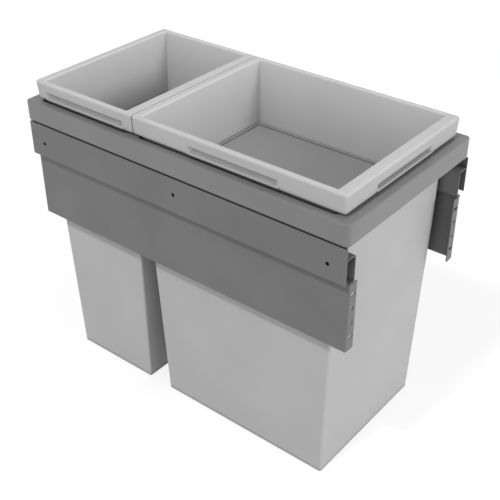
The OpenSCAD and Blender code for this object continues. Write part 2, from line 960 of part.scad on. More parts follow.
module lid(bin) {
    y = (wall_front(bin, lid_z) + wall_back(bin, lid_z)) / 2;
    plate_top = lid_z + lid_t;
    color(lid_grey)
        difference() {
            translate([0, 0, lid_z])
                linear_extrude(lid_t + border_h)
                    lid_outline(bin, 0);
            translate([0, 0, plate_top])
                linear_extrude(border_h + over)
                    lid_outline(bin, border_w);
            translate([0, 0, plate_top - groove_d])
                linear_extrude(groove_d + slim)
                    difference() {
                        lid_outline(bin, border_w);
                        lid_outline(bin, border_w + groove_w);
                    }
            translate([-wall_x(lid_z) + wall_t + lid_gap, y, lid_z - over])
                cylinder(r = notch_r, h = lid_t + border_h + 2 * over);
        }
}

module left() {
    mirror([1, 0, 0])
        children();
}

left() cabinet_rail();  // cabinet_rail_left
cabinet_rail();  // cabinet_rail_right
left() outer_runner();  // outer_runner_left
outer_runner();  // outer_runner_right
left() stop_buffer();  // stop_buffer_left
stop_buffer();  // stop_buffer_right
left() cage(outer_u, outer_v, cage_u, cage_t / 2);  // outer_cage_left
cage(outer_u, outer_v, cage_u, cage_t / 2);  // outer_cage_right
left() balls(outer_u, outer_v);  // outer_balls_left
balls(outer_u, outer_v);  // outer_balls_right
left() middle_runner();  // middle_runner_left
middle_runner();  // middle_runner_right
left() cage(inner_u, inner_v, inner_cage_u, 0.9 * cage_t);  // inner_cage_left
cage(inner_u, inner_v, inner_cage_u, 0.9 * cage_t);  // inner_cage_right
left() balls(inner_u, inner_v);  // inner_balls_left
balls(inner_u, inner_v);  // inner_balls_right
left() inner_runner();  // inner_runner_left
inner_runner();  // inner_runner_right
left() side_panel();  // side_panel_left
side_panel();  // side_panel_right
back_rail();
back_rail_rivets();
ring_frame();
bin(large, -1, large_grip_l);  // large_bin
bin(small, 1, small_grip_l);  // small_bin
lid(large);  // large_lid
lid(small);  // small_lid
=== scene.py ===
import json
import math

import bmesh
import bpy
import numpy as np
from mathutils import Matrix, Vector
from mathutils.geometry import tessellate_polygon

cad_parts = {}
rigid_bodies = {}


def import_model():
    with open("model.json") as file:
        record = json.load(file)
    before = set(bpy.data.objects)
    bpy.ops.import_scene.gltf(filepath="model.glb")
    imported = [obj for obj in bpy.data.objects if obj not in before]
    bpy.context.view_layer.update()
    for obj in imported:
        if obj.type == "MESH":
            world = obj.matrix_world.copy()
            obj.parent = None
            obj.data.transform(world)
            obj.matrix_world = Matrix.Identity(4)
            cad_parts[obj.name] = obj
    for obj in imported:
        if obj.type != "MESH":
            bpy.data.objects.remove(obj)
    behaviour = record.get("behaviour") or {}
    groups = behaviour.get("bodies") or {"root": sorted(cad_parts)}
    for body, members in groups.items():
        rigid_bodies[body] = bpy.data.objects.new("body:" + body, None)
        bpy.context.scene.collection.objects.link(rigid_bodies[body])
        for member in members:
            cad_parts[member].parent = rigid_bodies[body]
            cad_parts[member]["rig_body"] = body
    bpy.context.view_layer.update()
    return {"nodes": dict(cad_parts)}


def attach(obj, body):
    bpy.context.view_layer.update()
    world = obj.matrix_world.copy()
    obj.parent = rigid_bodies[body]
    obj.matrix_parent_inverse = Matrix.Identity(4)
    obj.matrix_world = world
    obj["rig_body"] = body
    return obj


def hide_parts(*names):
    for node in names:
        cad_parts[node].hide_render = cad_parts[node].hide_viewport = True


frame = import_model()
nodes = frame["nodes"]
mm = 0.001
print("frame loaded:", len(nodes), "nodes")


def linear(hexColour):
    # an sRGB hex colour such as "b4b4b4" as Blender's linear values
    parts = [int(hexColour[i:i + 2], 16) / 255 for i in (0, 2, 4)]
    return tuple(p / 12.92 if p <= 0.04045 else ((p + 0.055) / 1.055) ** 2.4 for p in parts) + (1.0,)


def addNode(owner, kind, inputs=None, **settings):
    # one node with its settings; each input takes a value or another node's output
    tree = owner.node_tree
    node = tree.nodes.new(kind)
    for name, value in settings.items():
        setattr(node, name, value)
    for name, value in (inputs or {}).items():
        if isinstance(value, bpy.types.NodeSocket):
            tree.links.new(value, node.inputs[name])
        else:
            node.inputs[name].default_value = value
    return node


def mapRange(owner, value, given, wanted, **settings):
    # carries a value from the given range to the wanted one and holds it at the range's ends
    return addNode(owner, "ShaderNodeMapRange", {
        "Value": value, "From Min": given[0], "From Max": given[1], "To Min": wanted[0], "To Max": wanted[1],
    }, **settings).outputs[0]


# Camera: solved from the unit's parallel edges in the picture.
cameraLook = {
    "target": (7.95, -9.87, 198.69),   # mm, the point in the middle of the picture
    "azimuth": -51.139,                # degrees, 0 looks along +Y
    "elevation": 33.354,
    "roll": -0.2335,
    "distance": 1272.89,               # mm
    "focalPixels": 929.46,
    "pictureWidth": 500,               # pixels
    "sensor": 36,                      # mm
    "farClip": 50,                     # m
}


def makeCamera():
    # back points from the target to the camera, right lies level, up completes the frame
    look = cameraLook
    az, el, roll = (math.radians(look[k]) for k in ("azimuth", "elevation", "roll"))
    back = Vector((math.sin(az) * math.cos(el), -math.cos(az) * math.cos(el), math.sin(el)))
    right = Vector((math.cos(az), math.sin(az), 0))
    up = back.cross(right)
    right, up = (right * math.cos(roll) + up * math.sin(roll), up * math.cos(roll) - right * math.sin(roll))
    data = bpy.data.cameras.new("photoCamera")
    data.sensor_width = look["sensor"]
    data.lens = look["sensor"] * look["focalPixels"] / look["pictureWidth"]
    data.clip_end = look["farClip"]
    camera = bpy.data.objects.new("photoCamera", data)
    place = Vector(look["target"]) * mm + back * look["distance"] * mm
    camera.matrix_world = Matrix.Translation(place) @ Matrix((right, up, back)).transposed().to_4x4()
    bpy.context.scene.collection.objects.link(camera)
    bpy.context.scene.camera = camera


studio = {
    "world": 0.70,                     # the light that the world gives; the camera sees it as white
    "wallShare": 1.34,                 # how much of it comes from the horizon
    "ceilingShare": 0.48,              # and from overhead
    "floorSize": 14,                   # m
    "floorZ": -0.0004,                 # m, just under the bins
    "floorColour": "a0a0a0",
    "floorLift": 0.72,                 # how much brighter than its light the floor is seen
    "aim": (0, 0, 0.25),               # m, where the lamps point
    # name: place in metres, size in metres, watts
    "lamps": {
        "keyLamp": ((-3.75, 0.20, 6.00), 0.60, 166),
        "frontLamp": ((0.80, -6.80, 3.40), 2.20, 190),
    },
}


def makeFloor():
    bpy.ops.mesh.primitive_plane_add(size=studio["floorSize"], location=(0, 0, studio["floorZ"]))
    floor = bpy.context.object
    floor.name = "floor"
    paper = bpy.data.materials.new("paleFloor")
    paper.use_nodes = True
    paper.node_tree.nodes.clear()
    # matt paper; the camera and mirrors see it brighter than it is, so that it reads as white
    path = addNode(paper, "ShaderNodeLightPath")
    direct, mirrored = path.outputs["Is Camera Ray"], path.outputs["Is Glossy Ray"]
    seen = addNode(paper, "ShaderNodeMath", {0: direct, 1: mirrored}, operation="ADD", use_clamp=True)
    lift = addNode(paper, "ShaderNodeMath", {0: seen.outputs[0], 1: studio["floorLift"]},
                   operation="MULTIPLY")
    matt = addNode(paper, "ShaderNodeBsdfDiffuse", {"Color": linear(studio["floorColour"])})
    glow = addNode(paper, "ShaderNodeEmission", {"Color": (1, 1, 1, 1), "Strength": lift.outputs[0]})
    both = addNode(paper, "ShaderNodeAddShader", {0: matt.outputs[0], 1: glow.outputs[0]})
    addNode(paper, "ShaderNodeOutputMaterial", {"Surface": both.outputs[0]})
    floor.data.materials.append(paper)


def makeWorld():
    world = bpy.data.worlds.new("paleWorld")
    bpy.context.scene.world = world
    world.use_nodes = True
    world.node_tree.nodes.clear()
    # the walls of the studio are brighter than its ceiling; the camera sees plain white
    path = addNode(world, "ShaderNodeLightPath")
    toSky = addNode(world, "ShaderNodeTexCoord").outputs["Generated"]
    height = addNode(world, "ShaderNodeSeparateXYZ", {"Vector": toSky})
    room = mapRange(world, height.outputs["Z"], (0, 1),
                    (studio["world"] * studio["wallShare"], studio["world"] * studio["ceilingShare"]))
    level = addNode(world, "ShaderNodeMix", {"Factor": path.outputs["Is Camera Ray"], "A": room, "B": 1.0})
    sky = addNode(world, "ShaderNodeBackground", {"Color": (1, 1, 1, 1), "Strength": level.outputs["Result"]})
    addNode(world, "ShaderNodeOutputWorld", {"Surface": sky.outputs[0]})


def makeLamps():
    for name, (place, size, watts) in studio["lamps"].items():
        data = bpy.data.lights.new(name, "AREA")
        data.shape = "DISK"
        data.size = size
        data.energy = watts
        lamp = bpy.data.objects.new(name, data)
        lamp.location = place
        aim = Vector(studio["aim"]) - Vector(place)
        lamp.rotation_euler = aim.to_track_quat("-Z", "Y").to_euler()
        bpy.context.scene.collection.objects.link(lamp)


makeCamera()
makeFloor()
makeWorld()
makeLamps()
print("camera and studio ready")


# Materials. Each look gives its two tones in sRGB, its least and greatest roughness, the bump's strength and,
# for the dull surfaces, the specular level and how far gaps are painted darker as painted shade: up to which
# distance in mm and how far.
plasticLooks = {
    "bin": {"dark": "c6c6c6", "pale": "cacaca", "smooth": 0.54, "rough": 0.64, "bump": 0.25,
            "specular": 0.30, "gap": 9.0, "depth": 0.20},
    # the lid is the bin's plastic painted darker: painted shade for its place deep inside the bin
    "lid": {"dark": "949494", "pale": "989898", "smooth": 0.56, "rough": 0.66, "bump": 0.25,
            "specular": 0.25, "gap": 2.5, "depth": 0.50},
    "ring": {"dark": "797979", "pale": "7d7d7d", "smooth": 0.34, "rough": 0.40, "bump": 0.30,
             "specular": 0.85, "gap": 2.6, "depth": 0.06},
    "rubber": {"dark": "1c1c1d", "pale": "242425", "smooth": 0.70, "rough": 0.85, "bump": 0.50,
               "specular": 0.30, "gap": 5.0, "depth": 0.50},
}
steelLooks = {
    "coated": {"dark": "797979", "pale": "7e7e7e", "smooth": 0.42, "rough": 0.52, "bump": 0.20,
               "specular": 0.30, "gap": 14.0, "depth": 0.35},
    "rivet": {"dark": "6c6c6e", "pale": "77777a", "smooth": 0.35, "rough": 0.50, "bump": 0.20,
              "specular": 0.40, "gap": 3.0, "depth": 0.50},
}
bareLooks = {
    "zinc": {"dark": "9a9da0", "pale": "b9bcbf", "smooth": 0.26, "rough": 0.42, "bump": 0.30},
    "ball": {"dark": "b4b4b6", "pale": "d2d2d4", "smooth": 0.08, "rough": 0.22},
}
toneNoise = (0.35, 0.65)      # the noise's values between which the tone changes
roughNoise = (0.3, 0.7)       # and those between which the roughness does
# painted shade: how gaps are painted darker, and how a bin's inside is painted lighter at the mouth (above 1)
# and darker towards the lid (below 1)
gapShade = {
    "samples": 6,
    "sky": (0.25, 0.98),      # share of sky seen nearby: from here the gap counts as closed, and as open
    "inside": (0.3, 0.45),    # where the mesh's own value takes over
    "walls": (1.16, 0.88),    # what a bin's inner colour is multiplied by at the mouth and at the lid
}

# Injection-moulded polypropylene with a fine spark-eroded grain: a soft, even sheen and hardly any gloss.
# The real grain is about 0.3 mm and is drawn at 1.6 mm, so that it shows as a faint tooth. The cloud of
# about 90 mm stands for the slow change of tone where the melt has flowed.
mouldedSkin = {
    "cloud": {"Scale": 11.0, "Detail": 2.0, "Roughness": 0.4},
    "grain": {"Scale": 620.0, "Detail": 2.0, "Roughness": 0.6},
    "bumpHeight": 0.05, "ior": 1.49,
}

# Sheet steel with baked epoxy powder: an even grey with a slight orange-peel skin. The skin's real waves
# are about 1 mm wide and are drawn at 2.5 mm, so that they show in the highlights.
powderSkin = {
    "cloud": {"Scale": 14.0, "Detail": 3.0, "Roughness": 0.5},
    "grain": {"Scale": 400.0, "Detail": 1.0, "Roughness": 0.5},
    "bumpHeight": 0.06, "ior": 1.5,
}

# Cold-rolled strip with clear zinc plating: a metal with fine drawing lines along its length, which smear
# the highlights, and pale cloudy patches of the zinc. The lines are about 0.1 mm apart and are drawn at
# 0.8 mm: their noise is stretched along the strip.
zincSkin = {
    "stretch": (1.0, 0.02, 1.0),
    "lines": {"Scale": 1200.0, "Detail": 2.0},
    "cloud": {"Scale": 70.0},
    "bumpHeight": 0.02,
}

# Through-hardened bearing balls, ground and lapped: mirror-bright, with a thin uneven film of grease.
ballSkin = {"film": {"Scale": 900.0, "Detail": 2.0}, "filmNoise": (0.4, 0.7)}


def startMaterial(name):
    material = bpy.data.materials.new(name)
    material.use_nodes = True
    material.node_tree.nodes.clear()
    return material, addNode(material, "ShaderNodeTexCoord").outputs["Object"]


def finishMaterial(material, inputs):
    surface = addNode(material, "ShaderNodeBsdfPrincipled", inputs)
    addNode(material, "ShaderNodeOutputMaterial", {"Surface": surface.outputs[0]})
    return material


def mixTones(material, share, first, second):
    mixed = addNode(material, "ShaderNodeMix", {"Factor": share, "A": linear(first), "B": linear(second)},
                    data_type="RGBA")
    return mixed.outputs["Result"]


def roughness(material, noise, look, given=roughNoise):
    return mapRange(material, noise.outputs["Fac"], given, (look["smooth"], look["rough"]))


def bumps(material, noise, look, height):
    return addNode(material, "ShaderNodeBump", {"Height": noise.outputs["Fac"], "Strength": look["bump"],
                                                "Distance": height * mm}).outputs[0]


def shadeGaps(material, colour, look):
    # Painted shade: narrow gaps and inner corners, which get little bounce light, are painted darker. The
    # colour is multiplied by a value that falls from 1 in the open to the look's depth where little sky is
    # seen nearby.
    sky = addNode(material, "ShaderNodeAmbientOcclusion", {"Distance": look["gap"] * mm},
                  samples=gapShade["samples"])
    level = mapRange(material, sky.outputs["AO"], gapShade["sky"], (look["depth"], 1.0),
                     interpolation_type="SMOOTHSTEP")
    # Inside a bin the mesh's own value rises from 0.5 at the mouth to 1 at the lid: there the walls are
    # painted instead, lighter at the mouth and darker with depth, as painted light and painted shade. It is 0
    # everywhere else.
    inside = addNode(material, "ShaderNodeAttribute", attribute_name="inside").outputs["Fac"]
    within = mapRange(material, inside, gapShade["inside"], (0, 1))
    # painted light at the mouth and painted shade towards the lid
    paintedWallTone = mapRange(material, inside, (0.5, 1.0), gapShade["walls"])
    chosen = addNode(material, "ShaderNodeMix", {"Factor": within, "A": level, "B": paintedWallTone}).outputs["Result"]
    shade = addNode(material, "ShaderNodeCombineColor", {"Red": chosen, "Green": chosen, "Blue": chosen})
    both = addNode(material, "ShaderNodeMix", {"Factor": 1.0, "A": colour, "B": shade.outputs[0]},
                   data_type="RGBA", blend_type="MULTIPLY")
    return both.outputs["Result"]


def dullSurface(name, look, skin):
    # the cloud changes the tone, the grain changes the roughness and raises the bumps
    material, place = startMaterial(name)
    cloud = addNode(material, "ShaderNodeTexNoise", {"Vector": place, **skin["cloud"]})
    grain = addNode(material, "ShaderNodeTexNoise", {"Vector": place, **skin["grain"]})
    tone = mapRange(material, cloud.outputs["Fac"], toneNoise, (0, 1))
    colour = mixTones(material, tone, look["dark"], look["pale"])
    return finishMaterial(material, {
        "Base Color": shadeGaps(material, colour, look), "Roughness": roughness(material, grain, look),
        "Normal": bumps(material, grain, look, skin["bumpHeight"]), "IOR": skin["ior"],
        "Specular IOR Level": look["specular"]})


def zincStrip(name, look, skin):
    material, place = startMaterial(name)
    along = addNode(material, "ShaderNodeMapping", {"Vector": place, "Scale": skin["stretch"]})
    lines = addNode(material, "ShaderNodeTexNoise", {"Vector": along.outputs[0], **skin["lines"]})
    cloud = addNode(material, "ShaderNodeTexVoronoi", {"Vector": place, **skin["cloud"]}, feature="SMOOTH_F1")
    return finishMaterial(material, {
        "Base Color": mixTones(material, cloud.outputs["Distance"], look["pale"], look["dark"]),
        "Roughness": roughness(material, lines, look),
        "Normal": bumps(material, lines, look, skin["bumpHeight"]), "Metallic": 1.0})


def polishedBall(name, look, skin):
    material, place = startMaterial(name)
    film = addNode(material, "ShaderNodeTexNoise", {"Vector": place, **skin["film"]})
    return finishMaterial(material, {
        "Base Color": mixTones(material, film.outputs["Fac"], look["pale"], look["dark"]),
        "Roughness": roughness(material, film, look, skin["filmNoise"]), "Metallic": 1.0})


looks = {
    "bin": dullSurface("mouldedBinPlastic", plasticLooks["bin"], mouldedSkin),
    "lid": dullSurface("lidPlasticPaintedShade", plasticLooks["lid"], mouldedSkin),
    "ring": dullSurface("mouldedRingPlastic", plasticLooks["ring"], mouldedSkin),
    "rubber": dullSurface("mouldedBufferRubber", plasticLooks["rubber"], mouldedSkin),
    "coated": dullSurface("powderCoatedSheetSteel", steelLooks["coated"], powderSkin),
    "rivet": dullSurface("coatedRivetSteel", steelLooks["rivet"], powderSkin),
    "zinc": zincStrip("zincPlatedRolledSteel", bareLooks["zinc"], zincSkin),
    "ball": polishedBall("polishedBearingSteel", bareLooks["ball"], ballSkin),
}
print("materials ready:", len(looks))


# Mesh helpers. Sizes are in millimetres until the mesh is made.
cornerSteps = 8      # edges in each quarter of a corner
sharpAngle = 32      # degrees, sharper bends keep a crisp edge
weld = 0.002         # mm, nearer points become one
overlap = 0.05       # mm, how far joined blocks run into one another
runEnd = 0.3         # mm, how near a straight run's ends its outer places lie
hold = 0.4           # mm, a row this near a rounded edge keeps the wall beyond it flat


def loop(halfX, yFront, yBack, rFront, rBack, sideY, endX):
    # A rounded rectangle seen from above, anticlockwise from the right side: straight runs at the given
    # places, joined by quarter circles, centre plus radius times (cos, sin) of the turned angle.
    turn = np.linspace(0, math.pi / 2, cornerSteps + 1)

    def arc(x, y, r, start):
        return np.stack([x + r * np.cos(start + turn), y + r * np.sin(start + turn)], 1)

    def run(x, y):
        return np.stack(np.broadcast_arrays(x, y), 1).astype(float)

    quarter = math.pi / 2
    return np.concatenate([
        run(halfX, sideY), arc(halfX - rBack, yBack - rBack, rBack, 0),
        run(endX[::-1], yBack), arc(rBack - halfX, yBack - rBack, rBack, quarter),
        run(-halfX, sideY[::-1]), arc(rFront - halfX, yFront + rFront, rFront, 2 * quarter),
        run(endX, yFront), arc(halfX - rFront, yFront + rFront, rFront, 3 * quarter),
    ])


def evenLoop(halfX, yFront, yBack, radius, sideShare, endShare):
    # A loop with one radius, whose places keep their shares of the straight runs at every size.
    sideY = yFront + radius + sideShare * (yBack - yFront - 2 * radius)
    endX = -halfX + radius + endShare * 2 * (halfX - radius)
    return loop(halfX, yFront, yBack, radius, radius, sideY, endX)


def outwards(sideCount, endCount):
    # The outward direction at each place of a loop: level on the straight runs, turning at the corners.
    turn = np.linspace(0, math.pi / 2, cornerSteps + 1)
    parts = []
    for side, count in enumerate((sideCount, endCount, sideCount, endCount)):
        start = side * math.pi / 2
        parts.append(np.tile([math.cos(start), math.sin(start)], (count, 1)))
        parts.append(np.stack([np.cos(start + turn), np.sin(start + turn)], 1))
    return np.concatenate(parts)


def loft(rows, capFirst=True, capLast=True):
    # Quads between neighbouring rows of a closed loop, row after row; the ends may be closed by flat caps.
    rows = np.asarray(rows, float)
    count = rows.shape[1]
    index = np.arange(len(rows) * count).reshape(len(rows), count)
    after = np.roll(index, -1, axis=1)
    quads = np.stack([index[:-1], after[:-1], after[1:], index[1:]], -1).reshape(-1, 4)
    faces = quads.tolist()
    if capFirst:
        faces.append(index[0][::-1].tolist())
    if capLast:
        faces.append(index[-1].tolist())
    return rows.reshape(-1, 3), faces


def lift(points, z):
    # points seen from above get one height, or a height each
    return np.column_stack([points, np.broadcast_to(z, len(points))])


def block(x0, x1, y0, y1, z0, z1):
    # The eight corners of an upright block and its six faces, pointing outwards.
    corners = np.array([[x, y, z] for z in (z0, z1) for y in (y0, y1) for x in (x0, x1)], float)
    faces = [[0, 2, 3, 1], [4, 5, 7, 6], [0, 1, 5, 4], [2, 6, 7, 3], [0, 4, 6, 2], [1, 3, 7, 5]]
    return corners, faces


def prism(outline, axis, low, high):
    # A flat outline carried straight along an axis: the same points at its two ends.
    outline = np.asarray(outline, float)
    ends = [np.insert(outline, axis, at, axis=1) for at in (low, high)]
    count = len(outline)
    step = list(range(count))
    faces = [step[::-1], [count + k for k in step]]
    faces += [[k, (k + 1) % count, count + (k + 1) % count, count + k] for k in step]
    return np.concatenate(ends), faces


def join(parts):
    points, faces, start = [], [], 0
    for some, their in parts:
        points.append(some)
        faces += [[start + i for i in face] for face in their]
        start += len(some)
    return np.concatenate(points), faces


def makePiece(name, points, faces, look, inside=None):
    # one mesh in metres with its look; inside is the value that shadeGaps reads
    data = bpy.data.meshes.new(name)
    data.from_pydata((np.asarray(points) * mm).tolist(), [], faces)
    if inside is not None:
        marks = data.attributes.new("inside", "FLOAT", "POINT")
        marks.data.foreach_set("value", np.asarray(inside, np.float32))
    data.materials.append(looks[look])
    piece = bpy.data.objects.new(name, data)
    bpy.context.scene.collection.objects.link(piece)
    return piece


def closeMesh(data):
    # points that lie on one another become one, and every face points outwards
    solid = bmesh.new()
    solid.from_mesh(data)
    bmesh.ops.remove_doubles(solid, verts=solid.verts, dist=weld * mm)
    bmesh.ops.recalc_face_normals(solid, faces=solid.faces)
    solid.to_mesh(data)
    solid.free()


def smooth(data, angle):
    data.shade_smooth()
    data.set_sharp_from_angle(angle=math.radians(angle))


def fitPiece(piece, node, body):
    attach(piece, body)
    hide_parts(node)


# Bins: one closed surface each, from the underside over the wall, round the rim and down inside.
binShape = {
    "height": 425.0, "wall": 2.2, "floor": 2.5, "baseEdge": 1.0, "baseHold": 0.3,
    "footInset": 7.0, "footDepth": 1.0, "footEdge": 0.2, "edgePlaces": 5,
    "rimX": 119.6, "rimHeight": 23.8, "rimWall": 2.0, "rimDraft": 1.4, "rimEdge": 3.2, "rimCorner": 4.0,
    "rimFootEdge": 0.5,
    "splitEdge": 0.5, "splitCorner": 1.2, "mouthEdge": 2.0, "bodyCorner": 3.0,
    "leastBody": 1.0, "leastRim": 0.4, "leastSplit": 0.3,    # least radii of corners that are drawn in
    "waistZ": 270.0, "sideHang": 4.0, "frontHang": 12.3, "backHang": 8.1,
    "sideWaist": 4.3, "frontWaist": 1.3, "sideDraft": 4.4,
    "gripFlare": 7.5, "lipOut": 0.8, "lipReach": 0.1, "sideGripDepth": 3.2, "endGripDepth": 4.2,
    "sidePad": 1.9, "endPad": 3.4, "endGrip": 119.0,
    "lugLength": 16.0, "lugDepth": 6.0, "lugHeight": 9.0, "lugZ": 320.7, "lugSunk": 0.3,
    "lugShares": (0.2, 0.8),
}
bins = {
    "large_bin": {"rimY": (-239.4, 67.0), "drafts": (8.9, 12.8), "sideGrip": 133.0, "gripEnd": -1},
    "small_bin": {"rimY": (67.7, 239.4), "drafts": (2.5, 10.2), "sideGrip": 139.6, "gripEnd": 1},
}
rimFoot = binShape["height"] - binShape["rimHeight"]
rimUnder = binShape["height"] - binShape["rimWall"]

# Heights of the rows on the walls' straight runs, two of them close to the waist on either side of it.
wallLevels = (90, 180, 268, 272, 340)
innerLevels = (400, 345, 272, 268, 180, 90)

# Rows of the rim's hollow back from the top down: height over the rim's foot, share of the grip's padding.
# Then the rows round its foot: height and distance from the hollow back.
backRows = ((20, 0), (12.9, 0), (12.2, 1), (0.5, 1))
footRows = ((0.1, 0.4), (0.0, 0.9))

# Rows of the rim's outer face from its foot up: height on the plain face, height in the recess,
# share of the recess's depth, share of the lip.
skirtRows = [
    (0.15, 0.15, 0.0, 1.0), (0.5, 0.5, 0.0, 1.0), (1.6, 1.6, 0.0, 1.0), (2.6, 2.6, 0.0, 1.0),
    (2.9, 2.85, 0.0, 0.85), (3.1, 3.0, 0.05, 0.0), (3.9, 4.1, 0.9, 0.0), (4.3, 4.3, 1.0, 0.0),
    (4.8, 4.7, 1.0, 0.0), (8.2, 9.9, 1.0, 0.0), (8.8, 10.5, 1.0, 0.0), (9.3, 10.75, 0.96, 0.0),
    (9.7, 10.8, 0.85, 0.0), (10.1, 10.8, 0.2, 0.0), (10.5, 10.85, 0.06, 0.0), (10.9, 11.1, 0.0, 0.0),
    (11.4, 11.4, 0.0, 0.0), (16.0, 16.0, 0.0, 0.0), (20.3, 20.3, 0.0, 0.0),
]

# Degrees at which the rows of the rim's upper edge and of the mouth's edge lie.
rimTurns = (6, 17, 28, 39, 50, 60, 69, 77, 84, 90)
mouthTurns = (90, 75, 60, 45, 30, 15, 0)

lidShape = {
    "z": 330.0, "thick": 3.0, "gap": 0.30, "corner": 1.0, "border": 5.0, "borderHeight": 1.0, "groove": 1.8,
    "grooveDepth": 1.4, "edge": 0.5, "grooveEdge": 0.3, "grooveStep": 0.1, "places": 9,
    "notch": 13.0, "notchPoints": 64, "notchHeights": (-2, 8),
}


def wallLean(z, upper, lower):
    # the wall leans in evenly down to the waist, by upper, and from there to the floor, by lower
    waist = binShape["waistZ"]
    return upper * (rimUnder - z) / (rimUnder - waist) if z > waist else upper + lower * (1 - z / waist)


def wallFaces(part, z, inset=0.0):
    # half width, front and back of the body's outer faces at a height, drawn in by inset
    shape = binShape
    front, back = part["rimY"]
    return (shape["rimX"] - shape["sideHang"] - wallLean(z, shape["sideWaist"], shape["sideDraft"]) - inset,
            front + shape["frontHang"] + wallLean(z, shape["frontWaist"], part["drafts"][0]) + inset,
            back - shape["backHang"] - wallLean(z, 0.0, part["drafts"][1]) - inset)


def spread(low, high, length, flare, middle):
    # places along a straight run: near its ends, and where the recess starts, slopes and runs level
    half = length / 2
    outside, slopes = (3, 0.35, 0), (0.25, 0.5, 0.75, 1.0)    # mm beyond the recess, shares of its flare
    slope = [half + away for away in outside] + [half - flare * share for share in slopes] + [half / 2]
    inner = sorted([middle + s * k for k in slope for s in (-1, 1)] + [middle])
    ends = [low + runEnd, (low + inner[0]) / 2, (high + inner[-1]) / 2, high - runEnd]
    return np.array(ends[:2] + inner + ends[2:])


def makeLugs(part):
    # wedges that grow out of the bin's walls and carry the lid; reach is signed, at is the wedge's middle
    shape = binShape
    x, y0, y1 = wallFaces(part, shape["lugZ"], shape["wall"] - shape["lugSunk"])
    low, high, depth = shape["lugZ"], shape["lugZ"] + shape["lugHeight"], shape["lugDepth"]

    def lug(wall, reach, axis, at):
        half = shape["lugLength"] / 2
        return prism([[wall, low], [wall, high], [wall + reach, high]], axis, at - half, at + half)

    lugs = [lug(s * x, -s * depth, 1, y0 + share * (y1 - y0))
            for share in shape["lugShares"] for s in (-1, 1)]
    for s in (-1, 1):
        lugs += [lug(y1, -depth, 0, s * x / 2), lug(y0, depth, 0, s * x / 2)]
    return lugs


